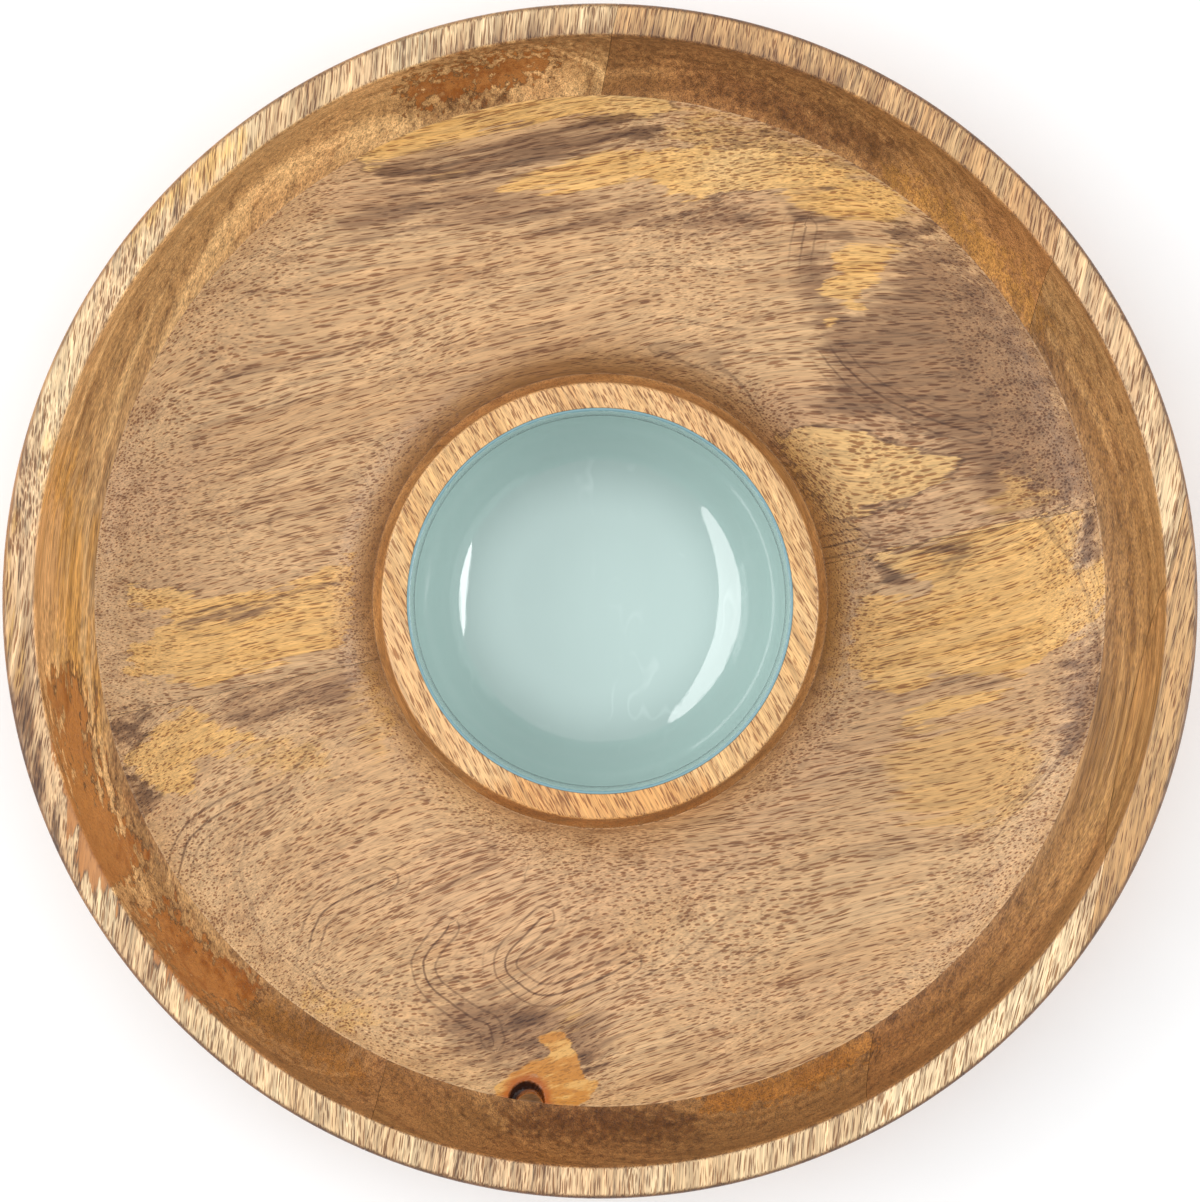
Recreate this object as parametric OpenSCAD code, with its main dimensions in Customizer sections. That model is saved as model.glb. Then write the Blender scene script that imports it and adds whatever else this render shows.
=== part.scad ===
// Chip and dip server: a wooden dish turned from two crossed layers of glued boards.
// The base layer holds the floor of the chip trough. The rim layer, glued across it, is the outer
// wall. A third piece of wood, glued in the middle, is the wall of the dip bowl, and a coat of
// enamel lines that bowl. The origin is the centre of the underside, with +Z up and -Y to the front.

/* [Overall] */
// Diameter across the outer wall
server_d = 305; // [270:1:380]
// Thickness of the base layer
base_layer_t = 19; // [15.5:0.5:26]
// Thickness of the rim layer
rim_layer_t = 29; // [24:0.5:36]

/* [Outer wall] */
// Height of the straight band at the top of the outer wall
rim_band_h = 8; // [4:0.5:14]
// Radius of the outer wall's bow below the band, seen in section
wall_bow_r = 89; // [70:1:160]
// Rounding between the outer wall and the underside
base_edge_r = 4; // [1:0.5:8]

/* [Rim] */
// Width of the rim's flat top, from the outer wall to the trough
rim_top_w = 8.5; // [6:0.5:14]
// Width of the bevel on each of the rim's two top edges
rim_edge_w = 1; // [0.4:0.1:1.4]

/* [Chip trough] */
// Wood left under the trough
trough_floor_t = 10; // [6:0.5:15]
// Height of the straight band at the top of the trough's wall, above the sweep
trough_band_h = 2; // [1.5:0.5:10]
// Radius of the cove between the trough's floor and the dip bowl, seen in section
cove_r = 20; // [12:1:32]

/* [Dip bowl] */
// Inside diameter of the lined bowl at its mouth
bowl_d = 97; // [80:1:118]
// Radius between the wall and the floor of the lined bowl
bowl_corner_r = 28; // [14:1:34]
// Width of bare wood around the mouth
bowl_lip_w = 6.8; // [4:0.2:10]
// How far the top of the bowl lies below the top of the rim
bowl_drop = 2; // [0.5:0.5:6]
// Rounding of the bowl's outer top edge
bowl_edge_r = 1.2; // [0.4:0.1:2.5]
// Wood left under the bowl
bowl_floor_t = 9; // [6:0.5:13]
// Thickness of the enamel lining
enamel_t = 0.8; // [0.6:0.1:2]
// Rounding of the enamel's edge at the mouth
enamel_edge_r = 0.5; // [0.2:0.1:0.5]

/* [Boards] */
// Direction of the rim layer's glue lines, counter-clockwise from +X
rim_grain_angle = 77.5; // [45:0.5:135]
// Width that is left of the outermost rim board, at the right
edge_strip_w = 12.6; // [9.5:0.1:18]
// Width of the rim board next to it
right_board_w = 45.9; // [30:0.1:60]
// Width of the rim board in the middle
middle_board_w = 122.3; // [90:0.1:140]
// Direction of the base layer's glue line, counter-clockwise from +X
base_grain_angle = 12; // [-45:0.5:45]
// Distance of the base layer's glue line from the axis, towards the back
base_joint_offset = -2.8; // [-30:0.1:30]

/* [Hidden] */
$fn = 128;
// How far a cutting shape runs past what it cuts
overrun = 1;

server_r = server_d / 2;
outside_r = server_r + overrun;
top_z = base_layer_t + rim_layer_t;

// Outer wall: a straight band, then an arc that leans in to the underside
bow_c = [server_r - wall_bow_r, top_z - rim_band_h];
base_edge_x = bow_c.x + sqrt(pow(wall_bow_r - base_edge_r, 2) - pow(bow_c.y - base_edge_r, 2));
base_edge_c = [base_edge_x, base_edge_r];

// Chip trough: a cove, a flat floor, and a sweep up to a short straight band at the rim
sweep_r = top_z - trough_floor_t - trough_band_h;
rim_inner_r = server_r - rim_top_w;
sweep_c = [rim_inner_r - sweep_r, trough_floor_t + sweep_r];

// Dip bowl: the enamel's face is the bowl, and the wood is cut deeper by the enamel's thickness
bowl_r = bowl_d / 2;
bowl_top_z = top_z - bowl_drop;
bowl_floor_z = bowl_floor_t + enamel_t;
bowl_corner_c = [bowl_r - bowl_corner_r, bowl_floor_z + bowl_corner_r];
ring_r = bowl_r + enamel_t + bowl_lip_w;
cove_c = [ring_r + cove_r, trough_floor_t + cove_r];

// Glue lines of the rim layer, as distances from the axis, laid out from the right
edge_strip_from = server_r - edge_strip_w;
right_board_from = edge_strip_from - right_board_w;
middle_board_from = right_board_from - middle_board_w;

function polar(radius, angle) = radius * [cos(angle), sin(angle)];

// Direction from one point to another
function heading(from, to) = atan2(to.y - from.y, to.x - from.x);

// A rectangle between two corners, so that shapes which share a corner meet exactly
module box(low, high) polygon([low, [high.x, low.y], high, [low.x, high.y]]);

// The part of a circle inside the rectangle between two corners
module arc_box(centre, radius, low, high) {
    intersection() {
        translate(centre) circle(radius);
        box(low, high);
    }
}

// What a rounding takes off a corner: the wedge outside a circle, between two of its radii
module corner_waste(centre, radius, from_angle, to_angle) {
    reach = 3 * radius;
    turn = to_angle - from_angle;
    middle = polar(reach / cos(turn / 2), from_angle + turn / 2);
    translate(centre) difference() {
        polygon([[0, 0], polar(reach, from_angle), middle, polar(reach, to_angle)]);
        circle(radius);
    }
}

// What a bevel takes off an edge of the rim's top. side is 1 on the outside and -1 on the inside.
module bevel_waste(edge_r, side) {
    outer_x = edge_r + side * overrun;
    inner_x = edge_r - side * (rim_edge_w + overrun);
    open_z = top_z + overrun;
    polygon([[outer_x, top_z - rim_edge_w - overrun], [inner_x, open_z], [outer_x, open_z]]);
}

// Half section of the whole dish before it is hollowed
module outer_section() {
    box([0, 0], [bow_c.x, top_z]);
    box(bow_c, [server_r, top_z]);
    arc_box(bow_c, wall_bow_r, [bow_c.x, 0], [server_r + overrun, bow_c.y]);
}

// Half section of the chip trough, open at the top
module trough_section() {
    open_z = top_z + overrun;
    below_z = trough_floor_t - overrun;
    arc_box(cove_c, cove_r, [ring_r - overrun, below_z], cove_c);
    box([ring_r, cove_c.y], [cove_c.x, open_z]);
    box([cove_c.x, trough_floor_t], [sweep_c.x, open_z]);
    arc_box(sweep_c, sweep_r, [sweep_c.x, below_z], [server_r, sweep_c.y]);
    box(sweep_c, [rim_inner_r, open_z]);
}

// Half section of the dip bowl, cut larger all round by grow, and open at the top
module bowl_section(grow) {
    open_z = top_z + overrun;
    wall_r = bowl_r + grow;
    floor_z = bowl_floor_z - grow;
    box([0, floor_z], [bowl_corner_c.x, open_z]);
    arc_box(bowl_corner_c, bowl_corner_r + grow, [bowl_corner_c.x, floor_z - overrun],
            [wall_r + overrun, bowl_corner_c.y]);
    box(bowl_corner_c, [wall_r, open_z]);
}

// Half section of all the wood, with its edges rounded
module wood_section() {
    difference() {
        outer_section();
        trough_section();
        bowl_section(enamel_t);
        box([0, bowl_top_z], [cove_c.x, top_z + overrun]);
        corner_waste(base_edge_c, base_edge_r, -90, heading(bow_c, base_edge_c));
        bevel_waste(server_r, 1);
        bevel_waste(rim_inner_r, -1);
        corner_waste([ring_r - bowl_edge_r, bowl_top_z - bowl_edge_r], bowl_edge_r, 0, 90);
    }
}

// The wood turned between two corners of its half section
module turned(low, high) {
    rotate_extrude() intersection() {
        wood_section();
        box(low, high);
    }
}

// The stretch of a layer between two parallel glue lines. They run along angle, and their
// distances from the axis count towards the left as that direction is faced.
module slab(angle, from, to) {
    length = 2 * (server_r + overrun);
    rotate([0, 0, angle]) translate([-length / 2, from, -overrun])
        cube([length, to - from, top_z + 2 * overrun]);
}

// A board of the base layer, between two distances from the axis towards the back
module base_board(from, to) {
    intersection() {
        turned([0, 0], [outside_r, base_layer_t]);
        slab(base_grain_angle, from, to);
    }
}

// A board of the rim layer, between two distances from the axis towards the right
module rim_board(from, to) {
    intersection() {
        turned([cove_c.x, base_layer_t], [outside_r, top_z]);
        slab(rim_grain_angle, -to, -from);
    }
}

// The middle board of the rim layer leaves two pieces, which lie apart along its grain
module middle_rim_piece(from, to) {
    intersection() {
        rim_board(middle_board_from, right_board_from);
        slab(rim_grain_angle - 90, from, to);
    }
}

module base_board_back() color("#b08a5e") base_board(base_joint_offset, outside_r);

module base_board_front() color("#a8845c") base_board(-outside_r, base_joint_offset);

module rim_board_left() color("#c79a62") rim_board(-outside_r, middle_board_from);

module rim_segment_back() color("#a9794a") middle_rim_piece(0, outside_r);

module rim_segment_front() color("#b98b52") middle_rim_piece(-outside_r, 0);

module rim_board_right() color("#b38350") rim_board(right_board_from, edge_strip_from);

module rim_edge_strip() color("#cfae7c") rim_board(edge_strip_from, outside_r);

module dip_bowl_ring() color("#c8935a") turned([0, base_layer_t], [cove_c.x, bowl_top_z]);

module enamel_lining() {
    edge_c = [bowl_r + enamel_edge_r, bowl_top_z - enamel_edge_r];
    color("#a9cdc6") rotate_extrude() difference() {
        intersection() {
            bowl_section(enamel_t);
            box([0, 0], [outside_r, bowl_top_z]);
        }
        bowl_section(0);
        corner_waste(edge_c, enamel_edge_r, 90, 180);
    }
}

base_board_back();
base_board_front();
rim_board_left();
rim_segment_back();
rim_segment_front();
rim_board_right();
rim_edge_strip();
dip_bowl_ring();
enamel_lining();
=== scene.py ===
import math

import bmesh
import bpy
import numpy as np
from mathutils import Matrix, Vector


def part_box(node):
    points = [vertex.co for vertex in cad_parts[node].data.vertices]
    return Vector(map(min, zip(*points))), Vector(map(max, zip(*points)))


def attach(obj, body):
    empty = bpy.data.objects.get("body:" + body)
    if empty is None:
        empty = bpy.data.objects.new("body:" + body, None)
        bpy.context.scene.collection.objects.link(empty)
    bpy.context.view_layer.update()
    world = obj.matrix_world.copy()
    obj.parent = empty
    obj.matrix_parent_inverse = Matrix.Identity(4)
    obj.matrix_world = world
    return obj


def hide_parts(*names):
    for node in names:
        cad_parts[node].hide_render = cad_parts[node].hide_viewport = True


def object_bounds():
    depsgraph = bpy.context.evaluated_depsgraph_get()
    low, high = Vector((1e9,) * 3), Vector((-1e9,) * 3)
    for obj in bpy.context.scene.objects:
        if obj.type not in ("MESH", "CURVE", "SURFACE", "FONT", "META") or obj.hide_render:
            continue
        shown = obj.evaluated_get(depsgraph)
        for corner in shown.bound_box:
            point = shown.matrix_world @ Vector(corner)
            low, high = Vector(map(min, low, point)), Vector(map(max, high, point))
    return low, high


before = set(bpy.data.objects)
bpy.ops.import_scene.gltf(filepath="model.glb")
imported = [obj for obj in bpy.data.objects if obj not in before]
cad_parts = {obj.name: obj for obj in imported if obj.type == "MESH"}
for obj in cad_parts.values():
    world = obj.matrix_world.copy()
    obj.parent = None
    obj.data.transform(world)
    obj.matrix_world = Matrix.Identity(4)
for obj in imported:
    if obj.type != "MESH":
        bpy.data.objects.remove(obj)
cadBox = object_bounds()
print("stage: frame loaded")

mm = 0.001
rimTopZ = cadBox[1].z / mm
outerR = (cadBox[1].x - cadBox[0].x) / 2 / mm
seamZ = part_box("base_board_back")[1].z / mm
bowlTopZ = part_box("dip_bowl_ring")[1].z / mm

# sizes of the turned section, in millimetres
section = {
    "floorZ": 10.0,  # trough floor
    "rimWidth": 8.5,
    "innerEase": 1.3,  # rounding of the rim's inner edge
    "outerEase": 1.7,
    "band": 2.0,  # straight stretch above the sweep
    "bandOutside": 8.0,
    "bow": 89.0,
    "footEdge": 4.0,
    "cove": 20.0,
    "bowlR": 48.5,
    "bowlCorner": 28.0,
    "bowlFloorZ": 9.8,
    "enamel": 0.8,
    "enamelEdge": 0.5,
    "lip": 6.8,
    "lipEase": 1.2,
    "seamEase": 0.12,  # the hair line left by a glued joint
    "jointGap": 0.05,
}
# directions of the boards, in degrees from +X
boardAngles = {"rim": 77.5, "base": 12.0}


# points of a circular arc in the half section, from one angle to another
def arc(centreR, centreZ, radius, fromDeg, toDeg, count):
    turn = np.radians(np.linspace(fromDeg, toDeg, count))
    return np.column_stack([centreR + radius * np.cos(turn), centreZ + radius * np.sin(turn)])


# points of a straight run, the first one left out
def run(start, end, count):
    share = np.linspace(0, 1, count + 1)[1:, None]
    return np.array(start) * (1 - share) + np.array(end) * share


def joinRuns(*parts):
    line = np.vstack(parts)
    step = np.linalg.norm(np.diff(line, axis=0), axis=1)
    return line[np.concatenate([[True], step > 1e-5])]


# the half section carried round the axis: x = r cos a, y = r sin a, z = z, one column per angle
def lathe(profile, angles, closed):
    rows, columns = len(profile), len(angles)
    radius, height = profile[:, 0][:, None], profile[:, 1][:, None]
    grid = np.stack([radius * np.cos(angles), radius * np.sin(angles),
                     height + 0 * angles[None, :]], axis=-1)
    last = rows if closed else rows - 1
    i, j = np.meshgrid(np.arange(last), np.arange(columns), indexing="ij")
    iNext, jNext = (i + 1) % rows, (j + 1) % columns
    quads = np.stack([i * columns + j, i * columns + jNext,
                      iNext * columns + jNext, iNext * columns + j], axis=-1).reshape(-1, 4)
    return grid, quads


# a bmesh from a grid of points in millimetres, with the rows on the axis drawn into one point
def shell(grid, quads):
    made = bmesh.new()
    mesh = bpy.data.meshes.new("shell")
    mesh.from_pydata((grid.reshape(-1, 3) * mm).tolist(), [], quads.tolist())
    made.from_mesh(mesh)
    bpy.data.meshes.remove(mesh)
    bmesh.ops.remove_doubles(made, verts=made.verts, dist=1e-8)
    bmesh.ops.dissolve_degenerate(made, edges=made.edges, dist=1e-8)
    bmesh.ops.recalc_face_normals(made, faces=made.faces)
    return made


# keeps the side of an upright glue plane that its normal points away from, and closes the cut
def cutAlong(made, normal, distance, keepBelow):
    where = np.array([normal[0], normal[1], 0.0])
    side = 1 if keepBelow else -1
    cut = bmesh.ops.bisect_plane(
        made, geom=made.verts[:] + made.edges[:] + made.faces[:], dist=1e-7,
        plane_co=(where * (distance - side * section["jointGap"]) * mm).tolist(),
        plane_no=where.tolist(), clear_outer=keepBelow, clear_inner=not keepBelow)
    edges = [e for e in cut["geom_cut"] if isinstance(e, bmesh.types.BMEdge) and e.is_boundary]
    bmesh.ops.holes_fill(made, edges=edges, sides=0)


creaseAngle = 0.62  # radians between two faces that meet at a sharp edge


# turns a finished bmesh into an object on the root body that stands for its CAD node
def settle(made, name, node, finish, fields=None):
    for edge in made.edges:
        edge.smooth = not (edge.is_manifold and edge.calc_face_angle(0) > creaseAngle)
    bmesh.ops.recalc_face_normals(made, faces=made.faces)
    mesh = bpy.data.meshes.new(name)
    made.to_mesh(mesh)
    made.free()
    mesh.polygons.foreach_set("use_smooth", np.ones(len(mesh.polygons), bool))
    points = np.zeros(len(mesh.vertices) * 3, np.float32)
    mesh.vertices.foreach_get("co", points)
    points = points.reshape(-1, 3) / mm
    for fieldName, values in (fields(points) if fields else {}).items():
        mesh.attributes.new(fieldName, "FLOAT", "POINT").data.foreach_set(
            "value", values.astype(np.float32))
    mesh.materials.append(finish)
    piece = bpy.data.objects.new(name, mesh)
    bpy.context.scene.collection.objects.link(piece)
    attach(piece, "root")
    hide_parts(node)
    print("stage:", name, len(mesh.vertices), "points")
    return piece


# rounds off a drawn outline or line by cutting its corners a few times
def softened(points, closed, rounds=2):
    line = np.array(points, float)
    for _ in range(rounds):
        ahead = np.roll(line, -1, axis=0) if closed else line[1:]
        here = line if closed else line[:-1]
        cut = np.stack([here * 0.75 + ahead * 0.25, here * 0.25 + ahead * 0.75], axis=1)
        cut = cut.reshape(-1, 2)
        line = cut if closed else np.vstack([line[:1], cut, line[-1:]])
    return line


# distance in the plan from each point to a closed outline, positive inside it
def insideDistance(points, outline):
    a = np.array(outline, float)
    b = np.roll(a, -1, axis=0)
    x, y = points[:, 0][:, None], points[:, 1][:, None]
    ab = b - a
    share = ((x - a[:, 0]) * ab[:, 0] + (y - a[:, 1]) * ab[:, 1]) / (ab ** 2).sum(1)
    share = np.clip(share, 0, 1)
    gap = np.hypot(x - a[:, 0] - share * ab[:, 0], y - a[:, 1] - share * ab[:, 1]).min(1)
    crosses = (a[:, 1] > y) != (b[:, 1] > y)
    slope = ab[:, 0] / np.where(np.abs(ab[:, 1]) < 1e-9, 1e-9, ab[:, 1])
    odd = (crosses & (x < a[:, 0] + (y - a[:, 1]) * slope)).sum(1) % 2 == 1
    return np.where(odd, gap, -gap)


# distance in the plan from each point to an open line, and the side of it that the point is on
def lineDistance(points, line):
    a, b = np.array(line[:-1], float), np.array(line[1:], float)
    x, y = points[:, 0][:, None], points[:, 1][:, None]
    ab = b - a
    share = ((x - a[:, 0]) * ab[:, 0] + (y - a[:, 1]) * ab[:, 1]) / (ab ** 2).sum(1)
    share = np.clip(share, 0, 1)
    gaps = np.hypot(x - a[:, 0] - share * ab[:, 0], y - a[:, 1] - share * ab[:, 1])
    turn = ab[:, 0] * (y - a[:, 1]) - ab[:, 1] * (x - a[:, 0])
    nearest = gaps.argmin(1)
    rows = np.arange(len(points))
    return gaps[rows, nearest], np.where(turn[rows, nearest] < 0, -1.0, 1.0)


fieldLimit = 12.0  # millimetres in or out, past which an area's attribute stays the same


# how deep each point lies in the deepest of several outlines
def fieldOf(points, outlines):
    deepest = np.full(len(points), -fieldLimit)
    for outline in outlines:
        deepest = np.maximum(deepest, insideDistance(points, softened(outline, True, 1)))
    return np.clip(deepest, -fieldLimit, fieldLimit)


class Value:
    # a number or colour that changes over the surface; the signs add Math nodes
    def __init__(self, finish, socket):
        self.finish, self.socket = finish, socket

    def math(self, kind, *others):
        inputs = dict(enumerate((self,) + others))
        return self.finish.add("Math", {"operation": kind}, inputs)

    def __add__(self, other): return self.math("ADD", other)
    def __radd__(self, other): return self.math("ADD", other)
    def __mul__(self, other): return self.math("MULTIPLY", other)
    def __rmul__(self, other): return self.math("MULTIPLY", other)
    def __sub__(self, other): return self.math("SUBTRACT", other)
    def __rsub__(self, other):
        return self.finish.add("Math", {"operation": "SUBTRACT"}, {0: other, 1: self})

    def __truediv__(self, other): return self.math("DIVIDE", other)

    def smooth(self, low, high):
        # 0 below low, 1 above high, eased in between
        return self.finish.add("MapRange", {"interpolation_type": "SMOOTHSTEP"},
                               {0: self, 1: low, 2: high, 3: 0.0, 4: 1.0})


class Finish:
    def __init__(self, name):
        self.material = bpy.data.materials.new(name)
        self.material.use_nodes = True
        self.tree = self.material.node_tree
        self.tree.nodes.clear()

    def add(self, kind, settings=None, inputs=None, out=0):
        made = self.tree.nodes.new("ShaderNode" + kind)
        for key, value in (settings or {}).items():
            setattr(made, key, value)
        for key, value in (inputs or {}).items():
            if isinstance(value, Value):
                self.tree.links.new(value.socket, made.inputs[key])
            else:
                made.inputs[key].default_value = value
        return Value(self, made.outputs[out])

    def mix(self, first, second, share, blend="MIX"):
        first, second = (c if isinstance(c, Value) else (*c, 1) for c in (first, second))
        return self.add("Mix", {"data_type": "RGBA", "blend_type": blend, "clamp_factor": True},
                        {0: share, 6: first, 7: second}, out=2)

    # a colour multiplied by another
    def stain(self, colour, by):
        return self.mix(colour, by, 1.0, "MULTIPLY")

    # object coordinates in millimetres
    def inMillimetres(self):
        inMetres = self.add("TexCoord", out=3)
        return self.add("VectorMath", {"operation": "SCALE"}, {0: inMetres, 3: 1000.0})

    # a noise vector that moves a place across the grain by up to half of the given reach
    def sway(self, place, noise, reach):
        middle, scale = (0.5, 0.5, 0.5), (0, reach, reach)
        centred = self.add("VectorMath", {"operation": "SUBTRACT"}, {0: noise, 1: middle})
        scaled = self.add("VectorMath", {"operation": "MULTIPLY"}, {0: centred, 1: scale})
        return self.add("VectorMath", {"operation": "ADD"}, {0: place, 1: scaled})

    # a float attribute of the mesh
    def field(self, key):
        return self.add("Attribute", {"attribute_name": key, "attribute_type": "GEOMETRY"}, out=2)

    def noise(self, place, scale, detail=2.0, roughness=0.5, out=0):
        inputs = {"Vector": place, "Scale": scale, "Detail": detail, "Roughness": roughness}
        return self.add("TexNoise", {"noise_dimensions": "3D"}, inputs, out=out)

    def stretch(self, place, scale, location=(0, 0, 0)):
        return self.add("Mapping", {"vector_type": "POINT"},
                        {"Vector": place, "Scale": scale, "Location": location})

    # distance to the nearest of a scatter of points
    def cells(self, place):
        return self.add("TexVoronoi", {"feature": "F1", "voronoi_dimensions": "3D"},
                        {"Vector": place, "Scale": 1.0, "Randomness": 1.0})

    def split(self, vector):
        parts = self.add("SeparateXYZ", {}, {0: vector})
        return [Value(self, socket) for socket in parts.socket.node.outputs]

    def finishWith(self, shader):
        out = self.tree.nodes.new("ShaderNodeOutputMaterial")
        self.tree.links.new(shader.socket, out.inputs["Surface"])
        return self.material


# an eight-bit colour as seen under the studio light, turned to the linear albedo that gives it
def tone(red, green, blue, light=1.24, sheen=0.018):
    seen = np.array([red, green, blue]) / 255.0
    linear = np.where(seen <= 0.04045, seen / 12.92, ((seen + 0.055) / 1.055) ** 2.4)
    return tuple(float(v) for v in np.clip((linear - sheen) / light, 0.002, 0.95))


# what the wood's colour is multiplied by: in the cove, finish gathered in end grain and painted
# shade; on the outer edge, painted shade
coveShadeTint = (0.42, 0.33, 0.24)
outerEdgeShadeTint = (0.5, 0.44, 0.38)


# one board of figured wood, as a solid: x runs along the grain, y and z across it from the pith
def woodFinish(name, look):
    f = Finish(name)
    inMm = f.inMillimetres()
    board = f.add("Mapping", {"vector_type": "TEXTURE"}, {
        "Vector": inMm, "Location": look["pith"],
        "Rotation": tuple(math.radians(a) for a in (0, look["dip"], look["grain"]))})
    # slow bends of the grain, then a small wander
    bendAt = f.stretch(board, (0.0065, 0.011, 0.011), look["seed"])
    bent = f.sway(board, f.noise(bendAt, 1.0, 1.5, 0.45, out=1), look["bend"])
    wanderAt = f.stretch(board, (0.03, 0.08, 0.08))
    grain = f.sway(bent, f.noise(wanderAt, 1.0, 2.0, 0.5, out=1), look["wander"])
    along, across, deep = f.split(grain)
    # growth rings are shells round the pith
    ring = (across * across + deep * deep).math("SQRT")
    ringPlace = f.add("CombineXYZ", {}, {0: ring * 0.16, 1: along * 0.006, 2: 0.0})
    bands = f.noise(ringPlace, 1.0, 4.0, 0.6)
    linePlace = f.add("CombineXYZ", {}, {0: ring * 0.55, 1: along * 0.004, 2: 3.1})
    growth = (f.noise(linePlace, 1.0, 2.0, 0.5) - 0.5).math("ABSOLUTE")
    growthLine = (1.0 - growth.smooth(0.0, 0.022)) * bands.smooth(0.45, 0.62)
    # fibres and streaks run with the grain
    hair = f.noise(f.stretch(grain, (0.06, 3.0, 3.0)), 1.0, 1.0, 0.5)
    fibre = f.noise(f.stretch(grain, (0.025, 0.8, 0.8)), 1.0, 3.0, 0.6)
    streak = f.noise(f.stretch(grain, (0.012, 0.3, 0.3), (4, 1, 7)), 1.0, 4.0, 0.58)
    cloud = f.noise(f.stretch(bent, (0.012, 0.024, 0.024), (9, 5, 2)), 1.0, 3.0, 0.55)
    # pores are long thin cells, crowded together in some of the growth
    cell = look["pore"]
    crowd = (streak - 0.5) * 0.3 + (cloud - 0.5) * 0.2 + (bands - 0.5) * 0.2
    pore = f.cells(f.stretch(grain, (1 / cell[0], 1 / cell[1], 1 / cell[1])))
    pores = 1.0 - (pore - crowd).smooth(cell[2] * 0.7, cell[2] * 1.2)
    fine = f.cells(f.stretch(grain, (0.2, 3.2, 3.2), (2, 3, 1)))
    finePores = 1.0 - (fine - crowd).smooth(0.2, 0.38)
    # ragged edges for the placed areas of the figure
    ragged = f.noise(f.stretch(grain, (0.04, 0.5, 0.5), (1, 8, 3)), 1.0, 4.0, 0.6)
    rag = (ragged - 0.5) * look["rag"]
    goldField = f.field("gold") + rag
    gold = goldField.smooth(-0.3, 0.7)
    goldEdge = 1.0 - (goldField + 0.4).math("ABSOLUTE").smooth(0.1, 0.9)
    goldEdge = goldEdge * cloud.smooth(0.44, 0.58)
    softGold = (f.field("glow") + rag * 2.0).smooth(-2.5, 4.0)
    grey = (f.field("grey") + rag * 1.3).smooth(-1.2, 1.8)
    haze = (f.field("haze") + rag * 2.4).smooth(-4.0, 5.0)
    rustField = f.field("rust") + rag * 1.9
    rust = rustField.smooth(-0.2, 0.6) * (cloud * 0.5 + streak * 0.5).smooth(0.3, 0.44)
    rustEdge = 1.0 - rustField.math("ABSOLUTE").smooth(0.1, 1.2)
    rustEdge = rustEdge * streak.smooth(0.36, 0.56) * 0.85
    # thin dark growth lines that follow the drawn ones side by side
    drawn = f.field("line") + (streak - 0.5) * 1.2
    lines = 1.0 - drawn.math("PINGPONG", 1.5).smooth(0.1, 0.45)
    lines = lines * f.field("lineFade") * cloud.smooth(0.36, 0.5)
    x, y, z = f.split(inMm)
    radius = (x * x + y * y).math("SQRT")
    steep = 1.0 - f.split(f.add("NewGeometry", out=1))[2]

    shades = look["shades"]
    colour = f.mix(shades["mid"], shades["light"], bands.smooth(0.36, 0.68))
    colour = f.mix(colour, shades["pink"], cloud.smooth(0.48, 0.66) * 0.6)
    colour = f.stain(colour, look["tint"])
    colour = f.mix(colour, shades["dark"], streak.smooth(0.5, 0.72) * look["streaks"])
    hazeTint = f.mix(shades["grey"], shades["haze"], streak.smooth(0.4, 0.62))
    colour = f.mix(colour, hazeTint, haze * 0.85)
    colour = f.mix(colour, shades["glow"], softGold * 0.75)
    goldTint = f.mix(shades["gold"], shades["goldDeep"], streak.smooth(0.4, 0.7) * 0.5)
    goldTint = f.mix(goldTint, shades["goldPale"], cloud.smooth(0.46, 0.6) * 0.7)
    greyTint = f.mix(shades["grey"], shades["greyDeep"], streak.smooth(0.38, 0.6))
    colour = f.mix(colour, goldTint, gold)
    colour = f.mix(colour, shades["greyDeep"], goldEdge * 0.6)
    colour = f.mix(colour, greyTint, grey * streak.smooth(0.3, 0.48) * 0.9)
    colour = f.mix(colour, shades["line"], lines * 0.75 + growthLine * look["growth"])
    # steep faces show end grain, which takes the finish darker and in patches; the tint is partly
    # that and partly painted shade, set board by board so that each side of the trough is lighter
    # or darker
    onWall = steep.smooth(*look["wallFrom"])
    wallDark, wallPale = (tuple(v * share for v in look["wall"]) for share in (0.78, 1.3))
    wallTint = f.mix(wallDark, wallPale, (cloud * 0.4 + bands * 0.6).smooth(0.38, 0.62))
    # painted shade: the walls darker still towards the front
    wallTint = f.mix(wallTint, f.stain(wallTint, look["frontShade"]), (0.0 - y).smooth(45.0, 120.0))
    colour = f.mix(colour, f.stain(colour, wallTint), onWall)
    # painted shade in the cove round the bowl, with finish gathered in its end grain, least at the
    # front
    coveShade = (1.0 - radius.smooth(58.0, 77.0)) * y.smooth(-58.0, -8.0) * look["cove"]
    colour = f.mix(colour, f.stain(colour, coveShadeTint), coveShade)
    rustMix = (streak * 0.5 + cloud * 0.5).smooth(0.4, 0.56)
    rustTint = f.mix(shades["rust"], shades["rustPale"], rustMix)
    rustTint = f.mix(shades["rustPale"], rustTint, steep.smooth(0.0, 0.2))
    colour = f.mix(colour, rustTint, rust * 0.9)
    colour = f.mix(colour, shades["greyDeep"], rustEdge)
    # painted shade on the rounded outer edge, where it turns down away from the light
    outerEdgeShade = radius.smooth(outerR - 1.6, outerR - 0.5)
    colour = f.mix(colour, f.stain(colour, outerEdgeShadeTint), outerEdgeShade)
    # fibre lightness, then pores
    calm = 1.0 - rust * 0.7
    lightness = ((fibre - 0.5) * look["fibre"] + (hair - 0.5) * look["hair"]) * calm + 1.0
    colour = f.add("VectorMath", {"operation": "SCALE"}, {0: colour, 3: lightness})
    poreShade = f.stain(colour, shades["pore"])
    poresSeen = (pores * look["poreDepth"]).math("MAXIMUM", finePores * look["finePores"])
    colour = f.mix(colour, poreShade, poresSeen * (1.0 - onWall * 0.55) * calm)
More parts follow.
